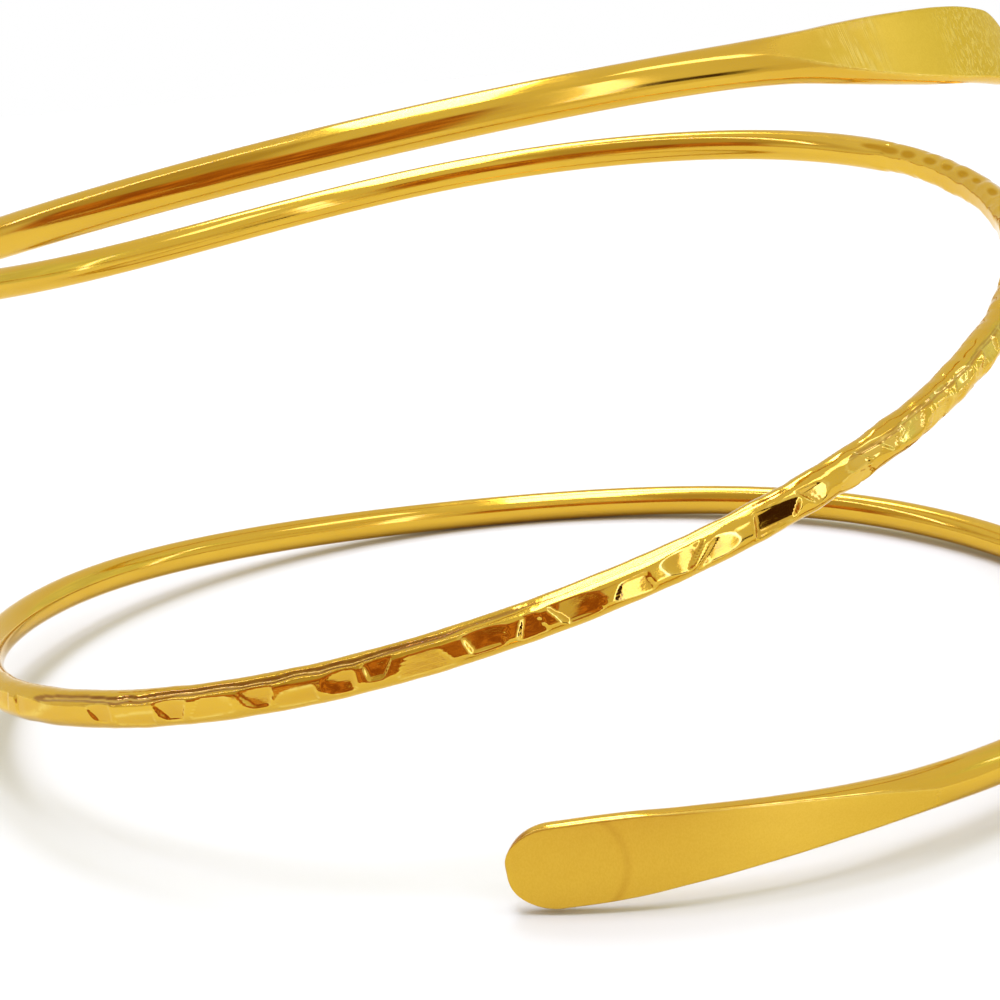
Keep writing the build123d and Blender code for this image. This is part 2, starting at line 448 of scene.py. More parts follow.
creaseRun = {
    "fadeIn": 12.0,         # mm over which a crease begins
    "fadeOut": 2.5,
    "sides": (0.15, 0.40),  # shares of its depth where the painted brown shade of its sides begins and is full
    # where the painted highlight at the bottom of a crease begins and is full
    "bottom": (0.80, 0.95),
    "seed": 40.0,
    "seedStep": 4,
}

# Fine winding lines on the right of the front
chasing = {
    "size": 1.5,
    "width": 0.035,
    "depth": 0.05,
    "begins": (30.0, 40.0),
    "ends": (62.0, 66.0),
    "upTo": (0.55, 0.75),  # radians above straight out
    "seed": 60.0,
}

# Long flats that the hammer left over the whole stretch: around (degrees) and depth
longFlats = [
    (6, 0.10),
    (58, 0.06),
    (180, 0.20),
]

wire = {
    "radius": 1.25,
    "sides": 72,
    "crowding": 0.35,       # how much closer the sides stand on the outside
    "paddleLengthUpper": 25.0,
    "paddleLengthLower": 26.0,
    "tipLengthUpper": 3.6,
    "tipLengthLower": 3.0,
    "paddleHalfWidth": 2.58,
    "paddleHalfThickness": 0.54,
    "unpressedHalf": 1.3,   # a little over the radius, so the round wire isn't cut
    "paddleSquareness": 0.35,
    "edgeSoftness": 0.02,
    "spreadLength": 35.0,
    "pressLength": 28.0,    # where the flat faces begin
    "turnRun": 60.0,        # the faces turn back to nothing this far from the tips
    "edgeRadius": 0.55,
    "faceSpan": (0.98, 1.05),  # from off to on a face, by how far out the metal would reach
    "facePress": (0.02, 0.2),  # and by how flat the end is there
    # where the painted highlight along the flat faces' edges begins, and how wide it is
    "faceEdgePress": (0.1, 0.5),
    "faceEdgeWidth": 0.10,
    "leastHalf": 0.01,
    "tipRings": 22,
    "paddleRing": 0.30,     # how far apart the rings are
    "plainRing": 1.6,
    "hammeredRing": 0.15,
    "weld": 0.002,          # closes the seam and the two tips
}

# How broad and how flat the two ends are, as shares: the first number is the share of their length
upperSpread = (
    (0.0, 1.0), (0.16, 1.0), (0.29, 0.96), (0.43, 0.80), (0.56, 0.56), (0.71, 0.22), (0.85, 0.08),
    (1.0, 0.0),
)
lowerSpread = ((0.0, 1.0), (0.15, 1.0), (0.30, 0.76), (0.46, 0.42), (0.62, 0.13), (0.74, 0.0), (1.0, 0.0))
pressRows = ((0.0, 1.0), (0.18, 1.0), (0.36, 0.94), (0.56, 0.78), (0.75, 0.50), (0.89, 0.22), (1.0, 0.0))
# How far the upper end hangs (mm) and each face is turned up (degrees): the first number is the
# millimetres from the tip
upperDrop = (
    (0, 0.0), (6, 0.05), (10, 0.18), (15, 0.32), (20, 0.33), (25, 0.25), (31, 0.2), (45, 0.08), (60, 0.0),
)
upperTurns = ((0, 16), (6, 16), (11, 17), (16, 20), (21, 28), (28, 42), (60, 0))
lowerTurns = ((0, 2), (12, 2), (18, 0), (22, -6), (28, -18), (45, 0), (60, 0))


def stretchList():
    # every stretch of wire with its length and its number of rings
    upperRun = wire["paddleLengthUpper"] - wire["tipLengthUpper"]
    lowerRun = wire["paddleLengthLower"] - wire["tipLengthLower"]
    plainUpper = hammeredStart - wire["paddleLengthUpper"]
    plainLower = wireLength - hammeredEnd - wire["paddleLengthLower"]
    hammeredRun = hammeredEnd - hammeredStart
    return [
        ("tip", wire["tipLengthUpper"], wire["tipRings"]),
        ("run", upperRun, round(upperRun / wire["paddleRing"])),
        ("run", plainUpper, round(plainUpper / wire["plainRing"])),
        ("run", hammeredRun, round(hammeredRun / wire["hammeredRing"])),
        ("run", plainLower, round(plainLower / wire["plainRing"])),
        ("run", lowerRun, round(lowerRun / wire["paddleRing"])),
        ("tip", wire["tipLengthLower"], wire["tipRings"]),
    ]


def ringLengths(tree, ring, stretches):
    # the length of wire at each ring: fine rings where there is detail, crowded at the tips
    along = 0.0
    passed = 0
    for number, (kind, size, count) in enumerate(stretches):
        passedHere = (float(passed), float(passed + count))
        if kind == "run":
            step = remap(tree, ring, *passedHere, 0.0, size)
        else:
            quarter = remap(tree, ring, *passedHere, 0.0, math.pi / 2)
            if number == 0:
                step = oneMinus(tree, calc(tree, "COSINE", quarter))
            else:
                step = calc(tree, "SINE", quarter)
            step = product(tree, step, size)
        along = plus(tree, along, step)
        passed += count
    return along


def wireFrame(tree, line, lean, along):
    # the middle of the wire at each ring, and which way is outwards and upwards there
    sample = addNode(
        tree, "GeometryNodeSampleCurve", {"Curves": line, "Length": product(tree, along, mm)},
        mode="LENGTH", use_all_curves=False,
    )
    middle = sample.outputs["Position"]
    ahead = sample.outputs["Tangent"]
    axis = calcVector(tree, "SCALE", lean, scale=split(tree, middle)["Z"])
    fromAxis = calcVector(tree, "SUBTRACT", middle, axis)
    upward = calcVector(tree, "NORMALIZE", calcVector(tree, "CROSS_PRODUCT", ahead, fromAxis))
    outward = calcVector(tree, "CROSS_PRODUCT", upward, ahead)
    return middle, outward, upward


def hammeredSurface(tree, given, along, around, fromStart, hammeredHere):
    # how far the metal reaches from the middle of the wire, and masks of what the hammer left
    def waveOf(size, seedShift):
        seed = plus(tree, given["Waviness Seed"], seedShift)
        upPlace = calc(tree, "DIVIDE", calc(tree, "SINE", around), size)
        where = join(
            tree, calc(tree, "DIVIDE", along, size), plus(tree, upPlace, seed),
            calc(tree, "DIVIDE", calc(tree, "COSINE", around), size),
        )
        noise = addNode(
            tree, "ShaderNodeTexNoise",
            {"Vector": where, "Scale": 1.0, "Detail": 1.0, "Roughness": hammer["noiseRoughness"]},
            noise_dimensions="3D",
        )
        return product(tree, noise.outputs[0], hammeredHere)

    thinner = less(tree, given["Hammered Radius"], given["Wire Radius"])
    radius = plus(tree, given["Wire Radius"], product(tree, thinner, hammeredHere))
    wavy = remap(tree, fromStart, *hammer["waveSpan"], *hammer["waveShares"])
    wavy = product(tree, given["Waviness"], wavy)
    wave = remap(tree, waveOf(hammer["waveSize"], 0.0), *hammer["noiseSpan"])
    rounded = less(tree, radius, product(tree, wave, wavy))
    for flatAround, depth in longFlats:
        facing = calc(tree, "COSINE", less(tree, around, math.radians(flatAround)))
        facing = calc(tree, "MAXIMUM", facing, hammer["leastFacing"])
        sunk = less(tree, radius, product(tree, hammeredHere, depth))
        flat = calc(tree, "DIVIDE", sunk, facing)
        rounded = calc(tree, "SMOOTH_MIN", rounded, flat, hammer["flatSoftness"])

    reach = rounded
    ridge = 0.0
    for row in blows:
        blow = placeGroup(tree, hammerBlow, **{
            "Reach": reach, "Ridge": ridge, "Along": fromStart, "Around": around,
            **dict(zip(blowInputs, map(float, row))),
        })
        reach = blow["Reach"]
        ridge = blow["Ridge"]

    # a mask for the painted shade in these dents
    edgeDentShade = 0.0
    for dentAlong, dentAround, length, height, depth in edgeDents:
        dent = placeGroup(tree, softDent, **{
            "Along": fromStart, "Around": around, "Dent Along": dentAlong,
            "Dent Around": float(dentAround), "Length": length, "Height": height,
        })["Factor"]
        reach = less(tree, reach, product(tree, dent, depth))
        edgeDentShade = calc(tree, "MAXIMUM", edgeDentShade, dent)

    # creases, with painted brown shade at the sides and a painted highlight at the bottom
    paintedCreaseShade = 0.0
    paintedCreaseHighlight = 0.0
    for number, row in enumerate(creases):
        begin, finish, beginAround, finishAround, wander, waveSize, width, depth, brown, bright = row
        sway = waveOf(waveSize, creaseRun["seed"] + creaseRun["seedStep"] * number)
        sway = remap(tree, sway, *hammer["noiseSpan"], -wander / 2, wander / 2)
        creaseAround = remap(tree, fromStart, begin, finish, beginAround, finishAround)
        groove = placeGroup(tree, softDent, **{
            "Around": around, "Dent Around": plus(tree, creaseAround, sway), "Height": width * 2,
        })["Factor"]
        creaseHere = product(
            tree, fade(tree, fromStart, begin, begin + creaseRun["fadeIn"]),
            fade(tree, fromStart, finish - creaseRun["fadeOut"], finish, 1.0, 0.0),
        )
        groove = product(tree, groove, creaseHere)
        reach = less(tree, reach, product(tree, groove, depth))
        sideShade = fade(tree, groove, *creaseRun["sides"], 0.0, brown)
        shine = fade(tree, groove, *creaseRun["bottom"], 0.0, bright)
        paintedCreaseShade = calc(tree, "MAXIMUM", paintedCreaseShade, sideShade)
        paintedCreaseHighlight = calc(tree, "MAXIMUM", paintedCreaseHighlight, shine)

    # fine winding lines that the edge of the hammer left between the blows
    winding = apart(tree, waveOf(chasing["size"], chasing["seed"]), 0.5)
    winding = product(
        tree, fade(tree, winding, 0.0, chasing["width"], 1.0, 0.0),
        fade(tree, fromStart, *chasing["ends"], 1.0, 0.0), remap(tree, fromStart, *chasing["begins"]),
        remap(tree, around, *chasing["upTo"], 1.0, 0.0),
    )
    reach = less(tree, reach, product(tree, winding, chasing["depth"]))
    masks = {
        "recess": less(tree, rounded, reach), "edgeDentShade": edgeDentShade,
        "crease": paintedCreaseShade, "creaseHighlight": paintedCreaseHighlight,
    }
    ripple = product(tree, waveOf(hammer["rippleSize"], hammer["rippleSeed"]), given["Ripple"])
    return less(tree, reach, ripple), product(tree, ridge, hammeredHere), masks


def beatenEnds(tree, given, along, around, reach):
    # how far out and up each point is: the two ends are wide, thin, round at the tip and twisted
    fromEnd = less(tree, wireLength, along)

    def shareOf(distance, length):
        return calc(tree, "DIVIDE", distance, length, clamp=True)

    def bothEnds(length, upperRows, lowerRows):
        upper = shareCurve(tree, shareOf(along, length), upperRows)
        return plus(tree, upper, shareCurve(tree, shareOf(fromEnd, length), lowerRows))

    def roundTips(upperSize, lowerSize):
        shares = []
        for distance, size in ((along, upperSize), (fromEnd, lowerSize)):
            left = oneMinus(tree, shareOf(distance, size))
            shares.append(calc(tree, "SQRT", oneMinus(tree, product(tree, left, left))))
        return product(tree, *shares)

    def turnOf(distance, rows):
        # a curve node holds values from 0 to 1, so degrees go in and out as shares of a half turn
        shares = [(place / wire["turnRun"], 0.5 + degrees / 180) for place, degrees in rows]
        turned = shareCurve(tree, shareOf(distance, wire["turnRun"]), shares)
        return product(tree, less(tree, turned, 0.5), math.pi)

    spread = bothEnds(wire["spreadLength"], upperSpread, lowerSpread)
    press = bothEnds(wire["pressLength"], pressRows, pressRows)
    tipRound = roundTips(wire["tipLengthUpper"], wire["tipLengthLower"])
    edgeRound = roundTips(wire["edgeRadius"], wire["edgeRadius"])

    extraWidth = calc(tree, "DIVIDE", given["Paddle Half Width"], given["Wire Radius"])
    extraWidth = less(tree, extraWidth, 1.0)
    wide = product(tree, calc(tree, "MULTIPLY_ADD", spread, extraWidth, 1.0), tipRound)
    half = product(tree, oneMinus(tree, press), wire["unpressedHalf"])
    half = plus(tree, half, product(tree, press, given["Paddle Half Thickness"]))
    half = product(tree, half, edgeRound)
    squarer = calc(tree, "MULTIPLY_ADD", press, given["Paddle Squareness"], 1.0)
    out = product(tree, reach, calc(tree, "COSINE", around), squarer)
    up = product(tree, reach, calc(tree, "SINE", around), wide)
    soft = product(tree, given["Edge Softness"], edgeRound)
    pressed = calc(tree, "SMOOTH_MIN", out, half, soft)
    pressed = calc(tree, "SMOOTH_MAX", pressed, negative(tree, half), soft)

    thick = calc(tree, "MAXIMUM", half, wire["leastHalf"])
    overFace = calc(tree, "ABSOLUTE", calc(tree, "DIVIDE", out, thick))
    onFace = product(
        tree, remap(tree, overFace, *wire["faceSpan"]), remap(tree, press, *wire["facePress"]))
    # a painted highlight along the edges of the flat faces
    faceEdgeHighlight = product(
        tree, remap(tree, press, *wire["faceEdgePress"]),
        remap(tree, apart(tree, out, half), 0.0, wire["faceEdgeWidth"], 1.0, 0.0),
    )

    twist = plus(tree, turnOf(along, upperTurns), turnOf(fromEnd, lowerTurns))
    cosine = calc(tree, "COSINE", twist)
    sine = calc(tree, "SINE", twist)
    outTurned = less(tree, product(tree, pressed, cosine), product(tree, up, sine))
    upTurned = plus(tree, product(tree, pressed, sine), product(tree, up, cosine))
    dropRows = [(place / wire["turnRun"], drop) for place, drop in upperDrop]
    drop = shareCurve(tree, shareOf(along, wire["turnRun"]), dropRows)
    return outTurned, less(tree, upTurned, drop), onFace, faceEdgeHighlight


coilSizes = {  # the inputs of the coil's tree
    "Wire Radius": wire["radius"],
    "Hammered Radius": hammer["radius"],
    "Hammered From": hammeredStart,
    "Hammered To": hammeredEnd,
    "Paddle Half Width": wire["paddleHalfWidth"],
    "Paddle Half Thickness": wire["paddleHalfThickness"],
    "Paddle Squareness": wire["paddleSquareness"],
    "Edge Softness": wire["edgeSoftness"],
    "Waviness": hammer["waviness"],
    "Ripple": hammer["ripple"],
    "Waviness Seed": hammer["wavinessSeed"],
}


def makeCoilTree():
    tree, given, result = newGroup(
        "coilWire", "GeometryNodeTree",
        {"Line": geometrySocket, **coilSizes, "Lean": vectorSocket, "Material": materialSocket},
        {"Wire": geometrySocket},
    )
    # a flat sheet of rings and sides, which is wrapped round the line below
    stretches = stretchList()
    rings = sum(count for _, _, count in stretches)
    grid = addNode(tree, "GeometryNodeMeshGrid", {
        "Size X": 1.0, "Size Y": 1.0, "Vertices X": rings + 1, "Vertices Y": wire["sides"] + 1,
    })
    place = split(tree, addNode(tree, "GeometryNodeInputPosition").outputs[0])
    ring = calc(tree, "ROUND", product(tree, plus(tree, place["X"], 0.5), float(rings)))
    side = plus(tree, place["Y"], 0.5)
    along = ringLengths(tree, ring, stretches)

    # angle round the wire: 0 is outwards, positive is up, and the sides crowd together outside
    fromStart = less(tree, along, given["Hammered From"])
    toEnd = less(tree, given["Hammered To"], along)
    hammeredHere = product(
        tree, fade(tree, fromStart, *hammer["startFade"]), fade(tree, toEnd, *hammer["endFade"]))
    plainAngle = product(tree, less(tree, side, 0.5), 2 * math.pi)
    crowd = product(tree, calc(tree, "SINE", plainAngle), wire["crowding"])
    around = less(tree, plainAngle, product(tree, crowd, hammeredHere))

    middle, outward, upward = wireFrame(tree, given["Line"], given["Lean"], along)
    reach, ridge, masks = hammeredSurface(tree, given, along, around, fromStart, hammeredHere)
    out, up, onFace, faceEdgeHighlight = beatenEnds(tree, given, along, around, reach)
    position = calcVector(
        tree, "ADD", calcVector(tree, "SCALE", outward, scale=product(tree, out, mm)),
        calcVector(tree, "SCALE", upward, scale=product(tree, up, mm)),
    )
    position = calcVector(tree, "ADD", middle, position)

    # what the material needs to know is kept on the mesh before it is wrapped
    uv = join(tree, calc(tree, "DIVIDE", along, wireLength), side)
    # the ridge mask carries the blows' rubbed rims and the painted highlight along the flat faces' edges
    masks["ridge"] = calc(tree, "MAXIMUM", ridge, faceEdgeHighlight)
    masks["hammered"] = hammeredHere
    masks["flatEnd"] = onFace
    mesh = addNode(
        tree, "GeometryNodeStoreNamedAttribute",
        {"Geometry": grid.outputs["Mesh"], "Name": "wireUV", "Value": uv},
        data_type="FLOAT2", domain="CORNER",
    )
    for name, value in masks.items():
        mesh = addNode(
            tree, "GeometryNodeStoreNamedAttribute",
            {"Geometry": mesh.outputs[0], "Name": name, "Value": value},
            data_type="FLOAT", domain="POINT",
        )
    for kind, inputs in (
        ("GeometryNodeSetPosition", {"Position": position}),
        ("GeometryNodeMergeByDistance", {"Distance": wire["weld"] * mm}),
        ("GeometryNodeSetShadeSmooth", {}),
        ("GeometryNodeRealizeInstances", {}),
        ("GeometryNodeSetMaterial", {"Material": given["Material"]}),
    ):
        mesh = addNode(tree, kind, {"Geometry": mesh.outputs[0], **inputs})
    feed(tree, result["Wire"], mesh.outputs[0])
    return tree


# The gold: a warm metal under a thin clear lacquer, brushed along the wire, rubbed bright on the
# ridges, with painted shade in the hollows on the left and painted highlights in the dents on the right. A
# span is where an effect begins and is full.
gold = {
    "bright": (0.69, 0.42, 0.028, 1.0),
    "deep": (0.59, 0.325, 0.016, 1.0),
    # painted shade in the hollows on the left; also the colour of the round mark on the lower tip
    "hollow": (0.45, 0.18, 0.010, 1.0),
    # rubbed wear, and also the colour of the painted highlights in the dents on the right and along the flat
    # faces' edges
    "wearAndHighlight": (0.82, 0.60, 0.12, 1.0),
    # painted shade in the small dents along the inner edge
    "edgeDentShade": (0.48, 0.225, 0.010, 1.0),
    "rim": (0.36, 0.12, 0.008, 1.0),
    # painted shade on the creases' sides and a painted highlight at their bottom
    "crease": (0.30, 0.105, 0.010, 1.0),
    "creaseHighlight": (0.95, 0.66, 0.12, 1.0),
    "deepShare": 0.35,
    "leftSpan": (58.0, 68.0),      # mm from the start of the hammered stretch
    "hollowSpan": (0.03, 0.22),    # mm deep
    "hollowShadeShare": 0.30,
    "dentHighlightSpan": (0.04, 0.14),  # the dents on the right get a painted highlight
    "dentHighlightShare": 0.45,
    "edgeDentShadeSpan": (0.25, 0.8),
    "edgeDentShadeShare": 0.85,
    "faceWorn": 0.22,
    "rubbedEdgesAndHighlight": 0.8,
    "wireRoughness": 0.12,
    "hammeredRoughness": 0.07,
    "faceRoughness": 0.30,
    "smudgeShares": (0.85, 1.2),   # of the roughness
    "lacquer": 0.40,
    "lacquerRoughness": 0.05,
    "faceBare": 0.85,              # the share of the lacquer that is gone from the flat ends
    "sheen": 0.05,
    "sheenRoughness": 0.35,
    "sheenTint": (0.93, 1.0, 0.86, 1.0),
    "edgeTint": (0.90, 0.76, 0.42, 1.0),  # of the metal where it is seen at a low angle
    "skinRelief": 0.25,
    "faceLines": -0.9,             # the brushed lines that the flat ends lack
    "bumpDistance": 0.02,          # mm
}

goldPatches = {
    "tone": {"Size": 2.2, "Stretch": 5.0, "Seed": 1.0},
    "smudge": {"Size": 1.1, "Stretch": 2.0, "Seed": 8.0},
    "skin": {"Size": 0.6, "Low": 0.1, "High": 0.9, "Seed": 12.0},
    "grain": {"Size": 0.09, "Low": 0.3, "High": 0.7, "Seed": 30.0},
    "spangle": {"Size": 0.28, "Stretch": 0.8, "Low": 0.48, "High": 0.62, "Seed": 21.0},
}

goldLines = {
    "brushed": {"Spacing": 0.05, "Length": 9.0, "Amount": 1.0},
    "crossLines": {"Spacing": 0.10, "Length": 1.6, "Amount": 1.4, "Seed": 4.0},
}

# Fine marks: the colour that each takes on and its share, added roughness and relief
fineMarks = {
    "grain": ("deep", 0.25, 0.05, 0.06),
    "brushed": ("deep", 0.25, 0.06, 0.04),
    "crossLines": ("wearAndHighlight", 0.70, 0.12, -0.5),
    "spangle": ("wearAndHighlight", 0.65, 0.10, -0.8),
}

upperFace = {
    "linesBegin": (16.0, 18.5),  # mm from the tip
    "linesEnd": (21.4, 22.2),
    "spangleEnd": (8.0, 12.5),
}

lowerTip = {
    "rimSpan": (1.2, 2.2),  # mm from the tip
    "rimShare": 0.9,
    "markFromEnd": 3.6,     # where the middle of the round mark is
    "markRadius": 3.4,
    "markWidth": 0.40,
    "markSpan": (-1.5, 1.5),
    "markShare": 0.40,
    "markPatches": (0.5, 1.0),
}


def makeCloudGroup():
    # soft patches, used for colour and for shine
    tree, given, result = newGroup(
        "cloudyPatches", "ShaderNodeTree",
        {"Vector": vectorSocket, "Size": 1.0, "Stretch": 1.0, "Low": 0.35, "High": 0.65, "Seed": 0.0},
        {"Factor": floatSocket},
    )
    scaled = calcVector(tree, "SCALE", given["Vector"], scale=calc(tree, "DIVIDE", 1.0, given["Size"]))
    place = split(tree, scaled)
    stretched = join(
        tree, calc(tree, "DIVIDE", place["X"], given["Stretch"]),
        plus(tree, place["Y"], given["Seed"]), place["Z"],
    )
    noise = addNode(
        tree, "ShaderNodeTexNoise",
        {"Vector": stretched, "Scale": 1.0, "Detail": 2.0, "Roughness": 0.55}, noise_dimensions="3D",
    )
    feed(tree, result["Factor"], fade(tree, noise.outputs[0], given["Low"], given["High"]))
    return tree


def makeScratchGroup():
    # fine hair lines with gaps in them
    tree, given, result = newGroup(
        "hairLines", "ShaderNodeTree",
        {"Vector": vectorSocket, "Spacing": 0.1, "Length": 4.0, "Amount": 0.5, "Seed": 0.0},
        {"Factor": floatSocket},
    )
    fine = placeGroup(tree, cloudyPatches, **{
        "Vector": given["Vector"], "Size": given["Spacing"],
        "Stretch": calc(tree, "DIVIDE", given["Length"], given["Spacing"]),
        "Low": 0.42, "High": 0.60, "Seed": given["Seed"],
    })["Factor"]
    gaps = placeGroup(tree, cloudyPatches, **{
        "Vector": given["Vector"], "Size": product(tree, given["Length"], 0.8),
        "High": 0.70, "Seed": plus(tree, given["Seed"], 5.0),
    })["Factor"]
    feed(tree, result["Factor"], product(tree, fine, gaps, given["Amount"]))
    return tree


def makeWearGroup():
    # ridges rubbed bright, and the painted highlight along the flat faces' edges, a little unevenly
    tree, given, result = newGroup(
        "rubbedEdgesAndHighlight", "ShaderNodeTree",
        {"Vector": vectorSocket, "Edge": 0.0, "Patch Size": 0.6, "Amount": 1.0},
        {"Factor": floatSocket},
    )
    patches = placeGroup(tree, cloudyPatches, **{
        "Vector": given["Vector"], "Size": given["Patch Size"], "Low": 0.25, "High": 0.6, "Seed": 3.0,
    })["Factor"]
    wearAndHighlight = product(tree, given["Edge"], patches)
    feed(tree, result["Factor"], calc(tree, "MULTIPLY", wearAndHighlight, given["Amount"], clamp=True))
    return tree


cloudyPatches = makeCloudGroup()
hairLines = makeScratchGroup()
rubbedEdgesAndHighlight = makeWearGroup()


def mixColour(tree, factor, first, second):
    node = addNode(tree, "ShaderNodeMix", {"Factor": factor}, data_type="RGBA")
    feed(tree, node.inputs[6], first)  # the two colour sockets
    feed(tree, node.inputs[7], second)
    return node.outputs[2]


def mixValue(tree, factor, first, second):
    node = addNode(tree, "ShaderNodeMix", {"Factor": factor}, data_type="FLOAT")
    feed(tree, node.inputs[2], first)  # the two number sockets
    feed(tree, node.inputs[3], second)
    return node.outputs[0]


def makeGold():
    material = bpy.data.materials.new("hammeredGold")
    material.use_nodes = True
    tree = material.node_tree
    shader = tree.nodes["Principled BSDF"]
    for name, value in (
        ("Metallic", 1.0), ("Coat Roughness", gold["lacquerRoughness"]),
        ("Sheen Weight", gold["sheen"]), ("Sheen Roughness", gold["sheenRoughness"]),
        ("Sheen Tint", gold["sheenTint"]), ("Specular Tint", gold["edgeTint"]),
    ):
        shader.inputs[name].default_value = value

    def attribute(name, output="Fac"):
        return addNode(tree, "ShaderNodeAttribute", attribute_name=name).outputs[output]

    # a place on the wire in millimetres: along it, and round it without a seam
    uv = split(tree, attribute("wireUV", "Vector"))
    along = product(tree, uv["X"], wireLength)
    angle = product(tree, uv["Y"], 2 * math.pi)
    upPlace = product(tree, calc(tree, "SINE", angle), wire["radius"])
    outPlace = product(tree, calc(tree, "COSINE", angle), wire["radius"])
    place = join(tree, along, upPlace, outPlace)
    patches = {
        name: placeGroup(tree, cloudyPatches, Vector=place, **look)["Factor"]
        for name, look in goldPatches.items()
    }
    onFace = attribute("flatEnd")
    hammered = attribute("hammered")
    recess = attribute("recess")

    # colour
    colour = mixColour(tree, product(tree, patches["tone"], gold["deepShare"]), gold["bright"], gold["deep"])
    # painted shade in the hollows on the left and a painted highlight in the dents on the right
    onLeft = remap(tree, along, *(hammeredStart + reach for reach in gold["leftSpan"]))
    hollow = remap(tree, recess, *gold["hollowSpan"], 0.0, gold["hollowShadeShare"])
    colour = mixColour(tree, product(tree, hollow, onLeft), colour, gold["hollow"])
    dentHighlight = remap(tree, recess, *gold["dentHighlightSpan"], 0.0, gold["dentHighlightShare"])
    colour = mixColour(tree, product(tree, dentHighlight, oneMinus(tree, onLeft)), colour, gold["wearAndHighlight"])
    # painted shade in the small dents along the inner edge, where the lacquer is also left off
    inEdgeDent = fade(tree, attribute("edgeDentShade"), *gold["edgeDentShadeSpan"], 0.0, gold["edgeDentShadeShare"])
    colour = mixColour(tree, inEdgeDent, colour, gold["edgeDentShade"])
    # the creases' painted shade and painted highlight
    for name in ("crease", "creaseHighlight"):
        colour = mixColour(tree, attribute(name), colour, gold[name])
    colour = mixColour(tree, product(tree, onFace, gold["faceWorn"]), colour, gold["wearAndHighlight"])

    # fine marks
    brushed = placeGroup(tree, hairLines, Vector=place, **goldLines["brushed"])["Factor"]
    acrossPlace = join(tree, upPlace, along)
    crossLines = placeGroup(tree, hairLines, Vector=acrossPlace, **goldLines["crossLines"])["Factor"]
    rubbed = product(
        tree, onFace, fade(tree, along, *upperFace["linesBegin"]),
        fade(tree, along, *upperFace["linesEnd"], 1.0, 0.0),
    )
    nearTip = product(tree, onFace, fade(tree, along, *upperFace["spangleEnd"], 1.0, 0.0))
    marks = {
        "grain": product(tree, patches["grain"], onFace),
        "brushed": product(tree, brushed, calc(tree, "MULTIPLY_ADD", onFace, gold["faceLines"], 1.0)),
        "crossLines": calc(tree, "MULTIPLY", crossLines, rubbed, clamp=True),
        "spangle": product(tree, patches["spangle"], nearTip),
    }
    for name, (tint, share, _, _) in fineMarks.items():
        colour = mixColour(tree, product(tree, marks[name], share), colour, gold[tint])
    # rubbed wear on the blows' ridges and a painted highlight along the flat faces' edges
    wearAndHighlight = placeGroup(
        tree, rubbedEdgesAndHighlight, Vector=place, Edge=attribute("ridge"), Amount=gold["rubbedEdgesAndHighlight"])["Factor"]
    colour = mixColour(tree, wearAndHighlight, colour, gold["wearAndHighlight"])

    # the lower tip: a darker rim and a faint round mark on its face
    fromEnd = less(tree, wireLength, along)
    rim = product(
        tree, oneMinus(tree, onFace), fade(tree, fromEnd, *lowerTip["rimSpan"], 1.0, 0.0),
        lowerTip["rimShare"],
    )
    colour = mixColour(tree, rim, colour, gold["rim"])
    upFace = product(tree, calc(tree, "SINE", angle), -wire["paddleHalfWidth"])
    fromMark = less(tree, fromEnd, lowerTip["markFromEnd"])
    markDistance = plus(tree, product(tree, fromMark, fromMark), product(tree, upFace, upFace))
    fromCircle = apart(tree, calc(tree, "SQRT", markDistance), lowerTip["markRadius"])
    mark = product(
        tree, fade(tree, fromCircle, 0.0, lowerTip["markWidth"], 1.0, 0.0), onFace,
        remap(tree, patches["tone"], 0.0, 1.0, *lowerTip["markPatches"]),
        remap(tree, fromMark, *lowerTip["markSpan"], 0.0, lowerTip["markShare"]),
    )
    feed(tree, shader.inputs["Base Color"], mixColour(tree, mark, colour, gold["hollow"]))

    # shine
    bare = calc(tree, "MAXIMUM", inEdgeDent, product(tree, onFace, gold["faceBare"]))
    lacquer = calc(tree, "MULTIPLY_ADD", bare, -gold["lacquer"], gold["lacquer"])
    feed(tree, shader.inputs["Coat Weight"], lacquer)
    rough = mixValue(tree, hammered, gold["wireRoughness"], gold["hammeredRoughness"])
    rough = product(tree, rough, remap(tree, patches["smudge"], 0.0, 1.0, *gold["smudgeShares"]))
    rough = mixValue(tree, onFace, rough, gold["faceRoughness"])
    height = product(tree, patches["skin"], hammered, gold["skinRelief"])
    for name, (_, _, roughness, relief) in fineMarks.items():
        rough = calc(tree, "MULTIPLY_ADD", marks[name], roughness, rough)
        height = calc(tree, "MULTIPLY_ADD", marks[name], relief, height)
    feed(tree, shader.inputs["Roughness"], rough)
    bump = addNode(tree, "ShaderNodeBump", {"Height": height, "Distance": gold["bumpDistance"] * mm})
    feed(tree, shader.inputs["Normal"], bump.outputs[0])
    print(f"gold material: {len(tree.nodes)} nodes")
    return material


goldMaterial = makeGold()
coilTree = makeCoilTree()
print(f"coil tree: {len(blows)} hammer blows, {len(edgeDents)} edge dents, {len(creases)} creases")
modifier = wireLine.modifiers.new("coilWire", "NODES")
modifier.node_group = coilTree
sockets = {item.name: item.identifier for item in coilTree.interface.items_tree if item.in_out == "INPUT"}
for name, value in coilSizes.items():
    modifier[sockets[name]] = value
modifier[sockets["Lean"]] = (-coil["leanLeft"], coil["leanBack"], 1.0)
modifier[sockets["Material"]] = goldMaterial

bpy.context.view_layer.update()
evaluated = wireLine.evaluated_get(bpy.context.evaluated_depsgraph_get())
coilMesh = bpy.data.meshes.new_from_object(evaluated)
coilMesh.name = "goldCoil"
goldCoil = bpy.data.objects.new("goldCoil", coilMesh)
bpy.context.collection.objects.link(goldCoil)
wireLine.modifiers.remove(modifier)
bpy.data.objects.remove(wireLine)

